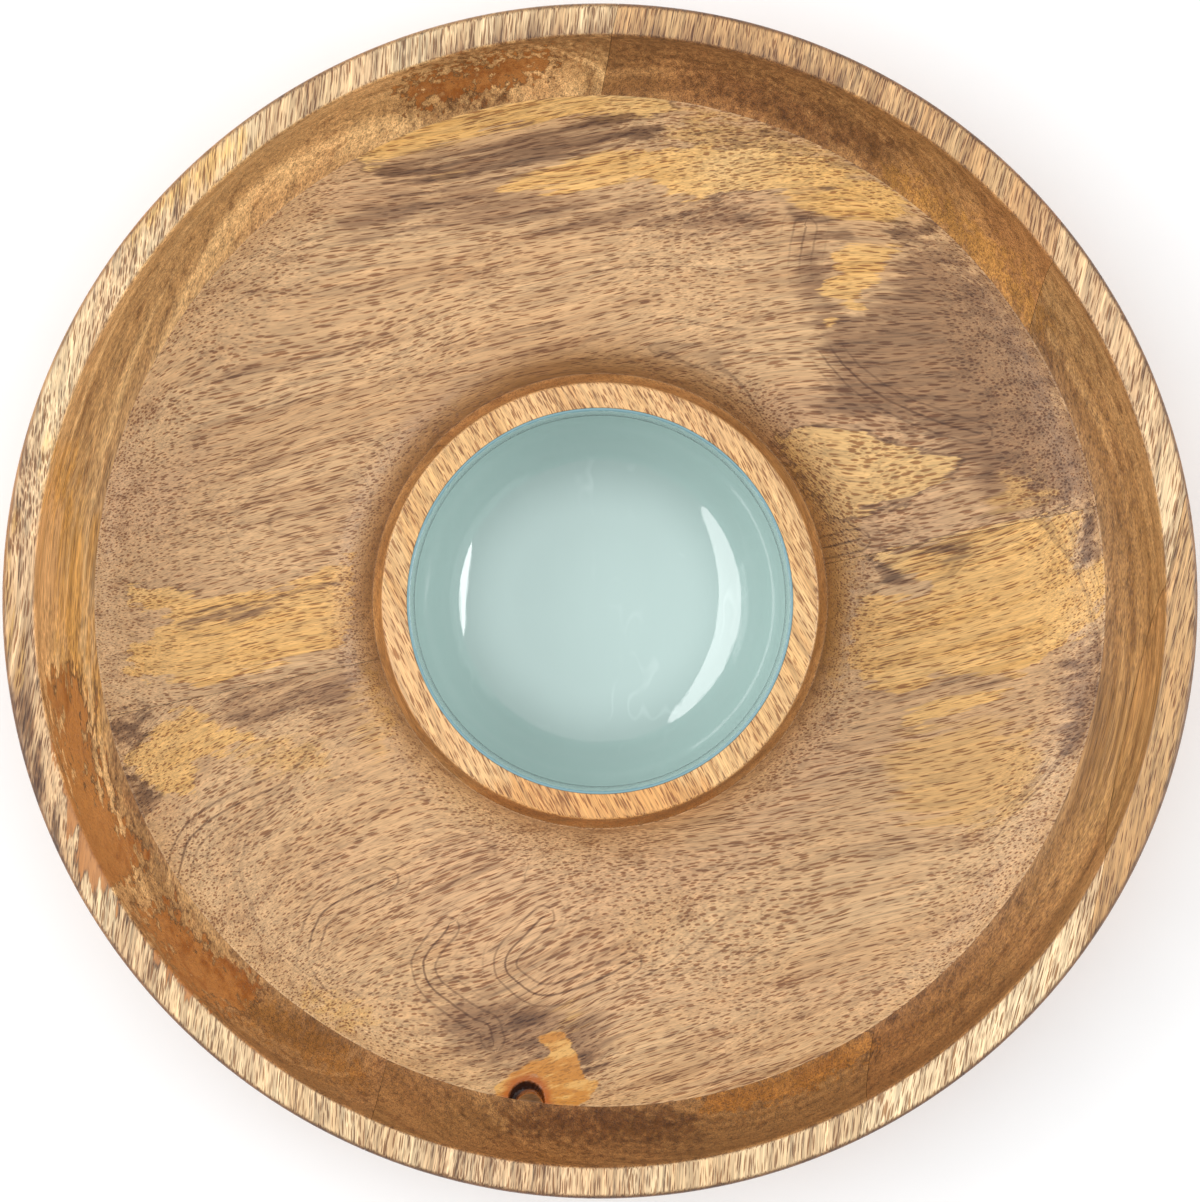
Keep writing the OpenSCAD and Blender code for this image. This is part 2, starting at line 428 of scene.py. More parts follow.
    # round the knot: the amber wood, the stained halo, the loose plug and the dark pocket, painted
    # near black as the shade inside a gap deeper than the modelled one
    amber = (f.field("amber") + rag * 0.25 + (fibre - 0.5) * 2.4).smooth(-0.2, 0.4)
    amberMix = (streak * 0.6 + fibre * 0.4).smooth(0.42, 0.56)
    amberTint = f.mix(shades["amber"], shades["amberDeep"], amberMix)
    colour = f.mix(colour, amberTint, amber * (1.0 - poresSeen * 0.4) * 0.95)
    colour = f.mix(colour, shades["halo"], (f.field("halo") + rag * 0.2).smooth(-0.5, 2.0) * 0.9)
    plugMix = (fibre * 0.5 + cloud * 0.5).smooth(0.42, 0.6) * 0.6
    plugTint = f.mix(shades["plug"], shades["knot"], plugMix)
    colour = f.mix(colour, plugTint, f.field("plug").smooth(-0.2, 0.5))
    # painted shade: the crescent pocket darkened as a deep gap would be
    pocket = (f.field("knot") + (fibre - 0.5) * 0.8).smooth(-0.3, 0.6)
    colour = f.mix(colour, shades["knot"], pocket * 0.95)

    rough = 0.38 + (fibre - 0.5) * 0.2 + pores * 0.2
    height = fibre * 0.25 - pores * 1.0 - finePores * 0.35 + streak * 0.2
    bump = f.add("Bump", {}, {"Strength": look["relief"], "Distance": 0.00016, "Height": height})
    shader = f.add("BsdfPrincipled", {}, {
        "Base Color": colour, "Roughness": rough, "Normal": bump,
        "IOR": 1.48, "Coat Weight": 0.22, "Coat Roughness": 0.28})
    return f.finishWith(shader)


baseShades = {
    "light": tone(236, 194, 143), "mid": tone(224, 179, 128), "dark": tone(172, 124, 80),
    "pink": tone(231, 185, 139), "pore": (0.4, 0.26, 0.17),
    "gold": tone(253, 201, 124), "goldDeep": tone(226, 168, 82), "goldPale": tone(255, 211, 144),
    "glow": tone(236, 186, 114), "grey": tone(168, 126, 88), "greyDeep": tone(120, 84, 55),
    "haze": tone(142, 103, 70), "rust": tone(154, 86, 38), "rustPale": tone(198, 130, 70),
    "line": tone(112, 74, 45), "knot": tone(50, 30, 17), "halo": tone(196, 106, 42),
    "amber": tone(250, 194, 112), "amberDeep": tone(222, 150, 66), "plug": tone(140, 98, 56),
}
rimShades = dict(
    baseShades, light=tone(252, 222, 176), mid=tone(232, 192, 142), dark=tone(156, 114, 74),
    pink=tone(238, 197, 152), glow=tone(236, 186, 106), pore=(0.34, 0.22, 0.13))
cupShades = dict(
    baseShades, light=tone(250, 205, 146), mid=tone(235, 184, 122), dark=tone(196, 140, 82),
    pink=tone(240, 191, 138), glow=tone(232, 166, 96), pore=(0.4, 0.27, 0.17))

# each board: where its pith lies, how its grain runs and bends, and its tint on steep faces, which
# is partly end grain and partly painted shade
boardLook = {
    "base_board_back": {
        "pith": (10, 30, -60), "dip": 2.0, "grain": 8, "seed": (1, 2, 3), "bend": 46,
        "wander": 2.4, "wall": (0.7, 0.6, 0.5), "shades": baseShades,
    },
    "base_board_front": {
        "pith": (-40, -70, -50), "dip": 3.0, "grain": 16, "seed": (6, 4, 8), "bend": 50,
        "wander": 2.4, "wall": (0.7, 0.6, 0.5), "shades": baseShades,
    },
    "rim_board_left": {
        "pith": (-90, 0, -50), "dip": 1.5, "grain": 84, "seed": (3, 1, 9), "bend": 24,
        "wander": 1.6, "wall": (0.9, 0.75, 0.55), "frontShade": (0.5, 0.4, 0.33), "shades": rimShades,
    },
    "rim_segment_back": {
        "pith": (30, 140, -40), "dip": 2, "grain": 80, "seed": (8, 1, 2), "bend": 24,
        "wander": 1.6, "wall": (0.68, 0.55, 0.42), "tint": (0.83, 0.71, 0.57),
        "shades": rimShades,
    },
    "rim_segment_front": {
        "pith": (50, -140, -60), "dip": -2, "grain": 84, "seed": (5, 5, 1), "bend": 24,
        "wander": 1.6, "wall": (0.42, 0.28, 0.155), "shades": rimShades,
    },
    "rim_board_right": {
        "pith": (120, 0, -70), "dip": 2, "grain": 79, "seed": (2, 7, 4), "bend": 20,
        "wander": 1.4, "wall": (0.535, 0.4, 0.26), "tint": (1.07, 1.08, 1.1),
        "frontShade": (0.61, 0.5, 0.39), "shades": rimShades,
    },
    "rim_edge_strip": {
        "pith": (150, 0, -30), "dip": 1, "grain": 78, "seed": (7, 7, 7), "bend": 16,
        "wander": 1.2, "wall": (0.78, 0.68, 0.54), "tint": (0.76, 0.65, 0.51),
        "shades": rimShades,
    },
    "dip_bowl_ring": {
        "pith": (0, 0, -40), "dip": 3, "grain": 119, "seed": (4, 4, 2), "bend": 18, "wander": 1.4,
        "wall": (0.5, 0.37, 0.25), "shades": cupShades,
    },
}
# what boards of one kind share: the length, width and reach of their pores, then how strongly each
# layer of the figure shows, and how dark the painted shade in the cove is
kindLook = {
    "base": {
        "pore": (6.5, 0.58, 0.36), "streaks": 0.55, "growth": 0.45, "fibre": 0.9, "hair": 0.9,
        "cove": 0.9, "poreDepth": 0.9, "finePores": 0.6, "rag": 12, "relief": 0.5,
        "wallFrom": (0.16, 0.55), "tint": (1, 1, 1), "frontShade": (1, 1, 1),
    },
    "rim_": {
        "pore": (6.5, 0.5, 0.38), "streaks": 0.6, "growth": 0.15, "fibre": 1.6, "hair": 1.5,
        "cove": 0.0, "poreDepth": 0.95, "finePores": 0.7, "rag": 11, "relief": 0.5,
        "wallFrom": (0.02, 0.3), "tint": (1, 1, 1), "frontShade": (1, 1, 1),
    },
    "dip_": {
        "pore": (5.0, 0.55, 0.36), "streaks": 0.5, "growth": 0.2, "fibre": 1.1, "hair": 1.1,
        "cove": 0.0, "poreDepth": 0.9, "finePores": 0.7, "rag": 9, "relief": 0.5,
        "wallFrom": (0.02, 0.6), "tint": (1, 1, 1), "frontShade": (1, 1, 1),
    },
}
woods = {name: woodFinish(name + "_wood", {**kindLook[name[:4]], **look})
         for name, look in boardLook.items()}
print("stage: wood finishes")

# areas of the base boards' figure, as outlines in the plan in millimetres
baseFigure = {
    "rust": [],
    "gold": [
        [(-66, 112), (-46, 118), (-29, 122), (-10, 126), (3, 127), (16, 126), (22, 134),
         (-30, 136), (-60, 126)],
        [(-28, 108), (-19, 112), (-6, 117), (8, 119), (26, 120), (38, 119), (55, 117), (64, 111),
         (79, 108), (79, 99), (63, 100), (52, 104), (47, 107), (37, 108), (29, 106), (18, 106),
         (16, 110), (3, 109), (-11, 108), (-23, 108)],
        [(-44, 111), (-39, 113), (-35, 113), (-37, 111), (-42, 110)],
        [(53, 122), (61, 120), (74, 115), (80, 109), (87, 104), (88, 101), (81, 105), (74, 111),
         (66, 115)],
        [(62, 93), (67, 94), (75, 94), (80, 93), (75, 89), (75, 86), (71, 83), (67, 79), (70, 77),
         (67, 76), (64, 78), (57, 80), (60, 82), (60, 84), (64, 86), (62, 89)],
        [(60, 71), (62, 73), (61, 74), (59, 73)],
        [(47, 44), (58, 45), (73, 44), (79, 42), (90, 38), (97, 35), (87, 30), (81, 26), (74, 24),
         (67, 22), (62, 21), (56, 27), (51, 34), (48, 39)],
        [(85, 15), (97, 18), (118, 23), (127, 24), (125, 17), (124, 8), (129, 10), (133, 13),
         (131, -2), (127, -8), (121, -12), (114, -16), (111, -20), (101, -20), (89, -19),
         (85, -23), (77, -25), (69, -21), (65, -16), (66, -6), (69, 1), (77, 2), (87, 3), (85, 5),
         (74, 9), (71, 11), (77, 13)],
        [(79, -31), (87, -27), (101, -24), (111, -22), (104, -26), (91, -30), (82, -33)],
        [(-124, 5), (-119, 4), (-110, 3), (-107, 2), (-97, 2), (-87, 3), (-77, 6), (-69, 10),
         (-64, 13), (-65, 6), (-65, -9), (-72, -13), (-82, -16), (-92, -19), (-103, -22),
         (-113, -21), (-123, -20), (-127, -20), (-124, -18), (-121, -17), (-124, -14),
         (-122, -10), (-117, -9), (-117, -7), (-112, -4), (-118, -2), (-124, 0)],
        [(-108, -28), (-101, -31), (-97, -34), (-90, -35), (-91, -37), (-98, -39), (-103, -41),
         (-106, -44), (-105, -50), (-112, -52), (-116, -51), (-120, -46), (-126, -41),
         (-120, -37), (-117, -33), (-112, -30)],
    ],
    "amber": [
        [(-17, -115), (-11, -113), (-8, -115), (-6, -119), (-5, -122), (-4, -125), (1, -126),
         (-4, -131), (-8, -133), (-14, -133), (-14, -128), (-16, -125), (-18, -124), (-22, -126),
         (-24, -130), (-28, -130), (-27, -126), (-22, -123), (-18, -121), (-14, -120),
         (-13, -118), (-15, -117)],
    ],
    "glow": [
        [(16, 126), (30, 128), (52, 122), (70, 114), (84, 104), (74, 98), (60, 104), (38, 112),
         (20, 118)],
        [(-62, -17), (-57, -20), (-54, -30), (-56, -42), (-62, -38), (-64, -28)],
        [(-11, -107), (-4, -106), (-5, -110), (-9, -112)],
        [(-80, -100), (-62, -106), (-60, -112), (-74, -110)],
        [(45, 40), (60, 46), (70, 20), (66, -20), (60, -26), (56, 0)],
        [(-90, -34), (-70, -38), (-72, -46), (-96, -42)],
        [(102, 25), (105, 30), (107, 34), (111, 34), (114, 30), (118, 27), (112, 25), (107, 23)],
        [(72, -36), (110, -30), (118, -46), (104, -62), (78, -56)],
    ],
    "grey": [
        [(-58, 114), (-46, 118), (-29, 122), (-10, 126), (3, 127), (17, 125), (16, 123), (3, 119),
         (-7, 117), (-20, 113), (-31, 110), (-42, 108), (-58, 107)],
        [(27, 123), (41, 123), (55, 122), (55, 120), (41, 120), (28, 121)],
        [(47, 108), (51, 109), (56, 109), (62, 108), (56, 107), (50, 107)],
        [(48, 104), (53, 101), (60, 100), (65, 99), (68, 96), (65, 95), (60, 97), (53, 98)],
        [(72, 98), (78, 99), (83, 98), (88, 100), (90, 97), (87, 95), (80, 93), (75, 95)],
        [(71, 11), (78, 8), (87, 3), (82, 2), (76, 4), (71, 8)],
        [(83, 13), (90, 15), (97, 16), (96, 14), (88, 11)],
        [(125, 8), (124, 13), (126, 19), (129, 27), (132, 24), (133, 14), (129, 10)],
        [(89, -21), (111, -20), (99, -22), (91, -24)],
        [(-111, -5), (-105, -3), (-90, -1), (-87, 1), (-79, 4), (-69, 6), (-70, 4), (-82, 0),
         (-88, -2), (-95, -5), (-104, -7), (-109, -7)],
        [(-130, -30), (-118, -29), (-118, -33), (-121, -38), (-126, -41), (-129, -35)],
        [(-126, -42), (-118, -48), (-112, -52), (-118, -57), (-122, -55), (-125, -49)],
        [(-7, -113), (-2, -116), (-3, -123), (-5, -124), (-6, -119)],
        [(-22, -106), (-14, -106), (-14, -111), (-19, -118), (-23, -115)],
    ],
    "haze": [
        [(54, 98), (52, 89), (54, 79), (58, 71), (60, 60), (58, 48), (73, 45), (94, 38),
         (101, 26), (105, 21), (127, 25), (131, 32), (123, 53), (113, 74), (100, 89), (87, 95),
         (80, 92), (73, 79), (65, 74)],
        [(-100, -26), (-84, -23), (-70, -18), (-62, -17), (-64, -24), (-74, -29), (-88, -32),
         (-100, -31)],
        [(123, -13), (133, -6), (133, -26), (128, -42), (120, -42), (120, -26)],
        [(-58, 107), (-30, 109), (-6, 104), (20, 104), (44, 103), (40, 97), (0, 98), (-40, 99),
         (-70, 96)],
        [(-40, -104), (-14, -104), (0, -108), (4, -118), (-10, -126), (-34, -120), (-50, -112)],
    ],
    "line": [
        [(-15, -83), (-20, -88), (-25, -93), (-25, -97), (-21, -101), (-16, -104), (-9, -103),
         (-1, -100), (8, -95)],
        [(-40, -86), (-45, -92), (-47, -96), (-45, -101), (-39, -106), (-33, -110), (-29, -111),
         (-28, -115)],
        [(-41, -41), (-56, -39), (-68, -42), (-81, -47), (-90, -51), (-99, -55), (-106, -60),
         (-109, -65), (-110, -71)],
        [(-56, -73), (-65, -77), (-73, -81), (-76, -88), (-77, -94), (-75, -98), (-71, -103),
         (-65, -106)],
        [(54, 98), (52, 89), (54, 79), (58, 71), (63, 63), (69, 57), (79, 51), (89, 47),
         (100, 44)],
        [(59, 14), (63, 15), (68, 16)],
    ],
}
# a loose knot: a crescent pocket between two circles, and how deep it is
knot = {
    "centre": (-19.2, -130.4), "outer": 4.9, "plugCentre": (-18.4, -132.0), "inner": 3.7,
    "depth": 2.6, "halo": 7.4,  # the stain round it
}

# areas of the rim layer's figure
rimFigure = {
    "amber": [],
    "gold": [
        [(22, -129), (45, -124), (70, -112), (73, -117), (50, -129), (30, -134)],
    ],
    "glow": [
        [(-136, 40), (-133, 0), (-133, -30), (-138, -30), (-140, 0), (-141, 40)],
        [(-150, 20), (-149, -20), (-153, -20), (-154, 20)],
        [(-120, 90), (-88, 116), (-92, 122), (-126, 94)],
        [(-92, -100), (-60, -120), (-62, -128), (-96, -106)],
        [(72, 109), (88, 97), (102, 82), (112, 66), (118, 70), (109, 86), (93, 102), (76, 115)],
        [(-128, 20), (-130, -10), (-127, -36), (-131, -36), (-135, -8), (-133, 22)],
    ],
    "grey": [
        [(-42, 128), (-34, 128), (-24, 130), (-22, 133), (-34, 134), (-44, 132)],
        [(-146, -22), (-142, -40), (-137, -60), (-133, -70), (-136, -72), (-142, -56),
         (-148, -34)],
    ],
    "haze": [
        [(-150, 30), (-147, -20), (-141, -50), (-152, -50), (-156, 0)],
        [(-128, -30), (-126, -52), (-119, -63), (-110, -74), (-112, -66), (-121, -50)],
        [(-25, -140), (25, -142), (25, -131), (-25, -131)],
        [(20, 146), (80, 120), (78, 112), (20, 134)],
        [(-46, 136), (-10, 141), (30, 139), (62, 129), (64, 134), (30, 145), (-10, 147),
         (-48, 141)],
    ],
    "rust": [
        [(-50, 128), (-36, 131), (-20, 135), (-12, 138), (-14, 142), (-34, 138), (-52, 133)],
        [(-142, -17), (-140, -35), (-137, -46), (-134, -60), (-133, -68), (-126, -77),
         (-123, -80), (-125, -74), (-122, -73), (-118, -67), (-120, -63), (-125, -57),
         (-126, -52), (-130, -50), (-131, -42), (-133, -30), (-137, -17)],
        [(-120, -79), (-115, -80), (-112, -77), (-110, -82), (-105, -87), (-100, -92), (-92, -96),
         (-88, -103), (-94, -106), (-106, -101), (-115, -85)],
    ],
    "line": [],
}


farOutside = -9.0  # what the knot's attributes hold well away from it
lineSpread = 7.0  # how far from a drawn line its growth lines fade out


def awayFrom(centre, x, y):
    return np.hypot(x - centre[0], y - centre[1])


# millimetres inside the knot's crescent, which is in the outer circle and not in the plug
def pocketField(x, y):
    inOuter = knot["outer"] - awayFrom(knot["centre"], x, y)
    offPlug = awayFrom(knot["plugCentre"], x, y) - knot["inner"]
    return np.maximum(np.minimum(inOuter, offPlug), farOutside)


# the attributes that place a figure on a mesh: millimetres inside each kind of area, and to lines
def figureFields(figure, withKnot=False):
    def fields(points):
        kinds = ("gold", "glow", "grey", "haze", "rust", "amber")
        made = {kind: fieldOf(points, figure[kind]) for kind in kinds}
        near, signed = np.full(len(points), fieldLimit), np.full(len(points), fieldLimit)
        for line in figure["line"]:
            gap, side = lineDistance(points, softened(line, False, 3))
            signed = np.where(gap < near, gap * side, signed)
            near = np.minimum(near, gap)
        made["line"], made["lineFade"] = signed, np.clip(1.1 - near / lineSpread, 0, 1)
        if not withKnot:
            nowhere = np.full(len(points), farOutside)
            return {**made, "knot": nowhere, "halo": nowhere, "plug": nowhere}
        x, y = points[:, 0], points[:, 1]
        made["knot"] = pocketField(x, y)
        made["halo"] = knot["halo"] - awayFrom(knot["centre"], x, y)
        made["plug"] = knot["inner"] - awayFrom(knot["plugCentre"], x, y)
        return made
    return fields


rimInnerR = outerR - section["rimWidth"]
sweepR = rimTopZ - section["floorZ"] - section["band"]
sweepCentre = (rimInnerR - sweepR, section["floorZ"] + sweepR)
ringR = section["bowlR"] + section["enamel"] + section["lip"]
coveCentre = (ringR + section["cove"], section["floorZ"] + section["cove"])
bowCentre = (outerR - section["bow"], rimTopZ - section["bandOutside"])
bowlCentre = (section["bowlR"] - section["bowlCorner"],
              section["bowlFloorZ"] + section["bowlCorner"])
bowlWallR = section["bowlCorner"] + section["enamel"]  # the wood under the enamel
bowlUnderZ = section["bowlFloorZ"] - section["enamel"]
ease = section["seamEase"]


def angleAt(height, centreZ, radius):
    return math.degrees(math.asin((height - centreZ) / radius))


def radiusAt(height, centre, radius, side=1):
    return centre[0] + side * math.sqrt(radius ** 2 - (height - centre[1]) ** 2)


def rimProfile():
    e1, e2 = section["innerEase"], section["outerEase"]
    return joinRuns(
        arc(*sweepCentre, sweepR, angleAt(seamZ + ease, sweepCentre[1], sweepR), 0, 34),
        run((rimInnerR, sweepCentre[1]), (rimInnerR, rimTopZ - e1), 2),
        arc(rimInnerR + e1, rimTopZ - e1, e1, 180, 90, 9),
        run((rimInnerR + e1, rimTopZ), (outerR - e2, rimTopZ), 6),
        arc(outerR - e2, rimTopZ - e2, e2, 90, 0, 11),
        run((outerR, rimTopZ - e2), (outerR, bowCentre[1]), 4),
        arc(*bowCentre, section["bow"], 0, angleAt(seamZ + ease, bowCentre[1], section["bow"]), 12),
        run((radiusAt(seamZ, bowCentre, section["bow"]), seamZ),
            (radiusAt(seamZ, sweepCentre, sweepR) + ease, seamZ), 8))


def baseProfile():
    foot = section["footEdge"]
    footX = bowCentre[0] + math.sqrt((section["bow"] - foot) ** 2 - (bowCentre[1] - foot) ** 2)
    footAngle = math.degrees(math.atan2(foot - bowCentre[1], footX - bowCentre[0]))
    return joinRuns(
        [[0, 0]], run((0, 0), (footX, 0), 14),
        arc(footX, foot, foot, -90, footAngle, 8),
        arc(*bowCentre, section["bow"], footAngle,
            angleAt(seamZ - ease, bowCentre[1], section["bow"]), 10),
        run((radiusAt(seamZ, bowCentre, section["bow"]) - ease, seamZ),
            (radiusAt(seamZ, sweepCentre, sweepR) + ease, seamZ), 5),
        arc(*sweepCentre, sweepR, angleAt(seamZ - ease, sweepCentre[1], sweepR), -90, 56),
        run((sweepCentre[0], section["floorZ"]), (coveCentre[0], section["floorZ"]), 26),
        arc(*coveCentre, section["cove"], 270,
            180 - angleAt(seamZ - ease, coveCentre[1], section["cove"]), 18),
        run((radiusAt(seamZ, coveCentre, section["cove"], -1) - ease, seamZ),
            (radiusAt(seamZ, bowlCentre, bowlWallR), seamZ), 4),
        arc(*bowlCentre, bowlWallR, angleAt(seamZ, bowlCentre[1], bowlWallR), -90, 12),
        run((bowlCentre[0], bowlUnderZ), (0, bowlUnderZ), 4))


# the turned faces aren't dead true: long shallow waves, cut in by up to the given depth
def turningWave(grid, depth):
    angle = np.arctan2(grid[..., 1], grid[..., 0])
    radius = np.hypot(grid[..., 0], grid[..., 1])
    wave = (np.sin(radius * 0.9 + 1.3 * np.sin(angle * 2)) * 0.35
            + np.sin(radius * 0.31 + angle * 3) * 0.4 + np.sin(angle * 7 + radius * 0.12) * 0.25)
    return depth * (wave - 1) / 2


# ring angles, closer together by the knot
knotAngle = math.atan2(knot["centre"][1], knot["centre"][0]) % (2 * math.pi)
ringAngles = np.linspace(0, 2 * math.pi, 600, endpoint=False)
knotHalfWidth, clearOfKnot = 0.075, 0.078  # radians
knotAngles = knotAngle + np.linspace(-knotHalfWidth, knotHalfWidth, 72)
baseAngles = np.sort(np.concatenate(
    [ringAngles[np.abs(ringAngles - knotAngle) > clearOfKnot], knotAngles]))
sweepEndR = 131.7  # just outside the base layer's share of the sweep
pocketWall = 0.9  # how far in from its edge the pocket is at its full depth


# a curved pocket round half the knot, pressed in across the sweep
def pressKnot(grid):
    x, y, z = grid[..., 0], grid[..., 1], grid[..., 2]
    radius = np.hypot(x, y)
    onSweep = (radius > sweepCentre[0]) & (radius < sweepEndR)
    onSweep &= (z < seamZ - 0.05) & (z > section["floorZ"])
    pocket = np.clip(pocketField(x, y) / pocketWall, 0, 1)
    pocket = pocket * pocket * (3 - 2 * pocket)
    nx, nz = (sweepCentre[0] - radius) / sweepR, (sweepCentre[1] - z) / sweepR
    depth = np.where(onSweep, pocket * knot["depth"], 0)
    out = grid.copy()
    out[..., 0] -= depth * nx * x / np.maximum(radius, 1e-6)
    out[..., 1] -= depth * nx * y / np.maximum(radius, 1e-6)
    out[..., 2] -= depth * nz
    return out


def unit(angleDeg):
    return np.array([math.cos(math.radians(angleDeg)), math.sin(math.radians(angleDeg))])


# how far a CAD node's own points lie along a direction in the plan, in millimetres
def reachOf(node, direction):
    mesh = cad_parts[node].data
    points = np.zeros(len(mesh.vertices) * 3, np.float32)
    mesh.vertices.foreach_get("co", points)
    along = points.reshape(-1, 3)[:, :2] @ direction / mm
    return float(along.min()), float(along.max())


rimAcross = unit(boardAngles["rim"] - 90)
baseAcross = unit(boardAngles["base"] + 90)
rimAlong = unit(boardAngles["rim"])
stripFrom = reachOf("rim_edge_strip", rimAcross)[0]
rightFrom = reachOf("rim_board_right", rimAcross)[0]
middleFrom = reachOf("rim_board_left", rimAcross)[1]
baseJoint = reachOf("base_board_back", baseAcross)[0]

baseGrid, baseQuads = lathe(baseProfile(), baseAngles, False)
baseGrid = pressKnot(baseGrid)
# the trough's floor and sweep, which have the lathe's waves
baseZ, baseR = baseGrid[..., 2], np.hypot(baseGrid[..., 0], baseGrid[..., 1])
openFloor = (baseZ > section["floorZ"] - 0.01) & (baseZ < seamZ - 0.3)
openFloor &= (baseR > 60) & (baseR < 131.5)
waveDepth = 0.05
baseGrid[..., 2] += np.where(openFloor, turningWave(baseGrid, waveDepth), 0)
for node, keepBelow in (("base_board_back", False), ("base_board_front", True)):
    made = shell(baseGrid, baseQuads)
    cutAlong(made, baseAcross, baseJoint, keepBelow)
    settle(made, node + "_turned", node, woods[node],
           figureFields(baseFigure, withKnot=True))

rimGrid, rimQuads = lathe(rimProfile(), ringAngles, True)
middleBoard = [(rimAcross, middleFrom, False), (rimAcross, rightFrom, True)]
rimCuts = {
    "rim_board_left": [(rimAcross, middleFrom, True)],
    "rim_segment_back": middleBoard + [(rimAlong, 0.0, False)],
    "rim_segment_front": middleBoard + [(rimAlong, 0.0, True)],
    "rim_board_right": [(rimAcross, rightFrom, False), (rimAcross, stripFrom, True)],
    "rim_edge_strip": [(rimAcross, stripFrom, False)],
}
for node, cuts in rimCuts.items():
    made = shell(rimGrid, rimQuads)
    for normal, distance, keepBelow in cuts:
        cutAlong(made, normal, distance, keepBelow)
    settle(made, node + "_turned", node, woods[node], figureFields(rimFigure))


# the dip bowl's ring: a warmer area at the front, and a short crack
ringFigure = {
    "gold": [], "grey": [], "haze": [], "rust": [], "amber": [],
    "glow": [[(-34, -44), (34, -44), (36, -60), (-36, -60)]],
    "line": [[(-41.5, 37.5), (-39.6, 35.2), (-38.2, 33.2)]],
}


def ringProfile():
    e, inner = section["lipEase"], 0.2  # roundings of the ring's two top edges
    innerR = section["bowlR"] + section["enamel"]
    coveFrom = 180 - angleAt(seamZ + ease, coveCentre[1], section["cove"])
    return joinRuns(
        arc(*coveCentre, section["cove"], coveFrom, 180, 22),
        run((ringR, coveCentre[1]), (ringR, bowlTopZ - e), 8),
        arc(ringR - e, bowlTopZ - e, e, 0, 90, 9),
        run((ringR - e, bowlTopZ), (innerR + inner, bowlTopZ), 6),
        arc(innerR + inner, bowlTopZ - inner, inner, 90, 180, 4),
        run((innerR, bowlTopZ - inner), (innerR, bowlCentre[1]), 5),
        arc(*bowlCentre, bowlWallR, 0, angleAt(seamZ, bowlCentre[1], bowlWallR), 12),
        run((radiusAt(seamZ, bowlCentre, bowlWallR), seamZ),
            (radiusAt(seamZ, coveCentre, section["cove"], -1) - ease, seamZ), 8))


# the enamel's wall leans in a little from the lip down to the corner
enamelLean = {"in": 0.6, "down": 13.0, "cornerFrom": -12}


def enamelProfile():
    r, e, bevel = section["bowlR"], section["enamelEdge"], 0.1
    outer = r + section["enamel"]
    return joinRuns(
        [[0, bowlUnderZ]], run((0, bowlUnderZ), (bowlCentre[0], bowlUnderZ), 6),
        arc(*bowlCentre, bowlWallR, -90, 0, 26),
        run((outer, bowlCentre[1]), (outer, bowlTopZ - bevel), 4),
        [[outer - bevel, bowlTopZ]],
        arc(r + e, bowlTopZ - e, e, 90, 180, 8),
        run((r, bowlTopZ - e), (r - enamelLean["in"], bowlTopZ - enamelLean["down"]), 8),
        arc(*bowlCentre, section["bowlCorner"], enamelLean["cornerFrom"], -90, 44),
        run((bowlCentre[0], section["bowlFloorZ"]), (0, section["bowlFloorZ"]), 14))


cupGrid, cupQuads = lathe(ringProfile(), ringAngles, True)
settle(shell(cupGrid, cupQuads), "dip_bowl_ring_turned", "dip_bowl_ring",
       woods["dip_bowl_ring"], figureFields(ringFigure))

# the enamel deep on the wall and clear in the bottom, partly pooled enamel and partly painted shade
# towards the wall with a painted reflection of the bright sky in the middle; thin at the lip, and
# brushed
enamelLook = {
    "deep": (0.285, 0.4, 0.37), "clear": (0.515, 0.665, 0.63), "edge": (0.12, 0.26, 0.29),
    "mark": (0.7, 0.84, 0.8),
}


def enamelFinish(name, look):
    f = Finish(name)
    inMm = f.inMillimetres()
    x, y, z = f.split(inMm)
    radius = (x * x + y * y).math("SQRT")
    flow = f.noise(f.stretch(inMm, (0.05, 0.022, 0.05)), 1.0, 3.0, 0.5)
    speck = f.noise(inMm, 0.9, 2.0, 0.5)
    clearAndLit = 1.0 - (radius + (flow - 0.5) * 9.0).smooth(22.0, 47.0)
    colour = f.mix(look["deep"], look["clear"], clearAndLit * 0.8 + flow * 0.2)
    # faint wavy brush marks in the bottom
    brushed = f.noise(f.stretch(inMm, (0.11, 0.05, 0.1), (7, 2, 5)), 0.6, 2.0, 0.6)
    marks = 1.0 - (brushed - 0.5).math("ABSOLUTE").smooth(0.0, 0.025)
    marks = marks * flow.smooth(0.5, 0.62) * clearAndLit
    colour = f.mix(colour, look["mark"], marks * 0.35)
    # painted light: the wall a little lighter than its depth of enamel, most of all near the lip,
    # to soften the edge of the sky's reflection and the shade just under the lip
    paintedLight = radius.smooth(34.5, 38.0) * 0.16 + radius.smooth(47.4, 48.2) * 0.5
    colour = f.mix(colour, look["clear"], paintedLight)
    lipR = section["bowlR"]
    rim = (radius + (speck - 0.5) * 0.3).smooth(lipR - 0.05, lipR + 0.15)
    colour = f.mix(colour, look["edge"], rim)
    bumpAt = f.noise(f.stretch(inMm, (0.09, 0.05, 0.08), (3, 1, 2)), 1.0, 3.0, 0.45)
    bumpAt = bumpAt * (1.0 - z.smooth(bowlTopZ - 14.0, bowlTopZ - 5.0))
    bump = f.add("Bump", {}, {"Strength": 0.35, "Distance": 0.0008, "Height": bumpAt})
    rough = 0.06 + (speck - 0.5) * 0.03
    shader = f.add("BsdfPrincipled", {}, {
        "Base Color": colour, "Roughness": rough, "Normal": bump,
        "IOR": 1.6, "Coat Weight": 1.0, "Coat Roughness": 0.03, "Coat IOR": 1.65})
    return f.finishWith(shader)


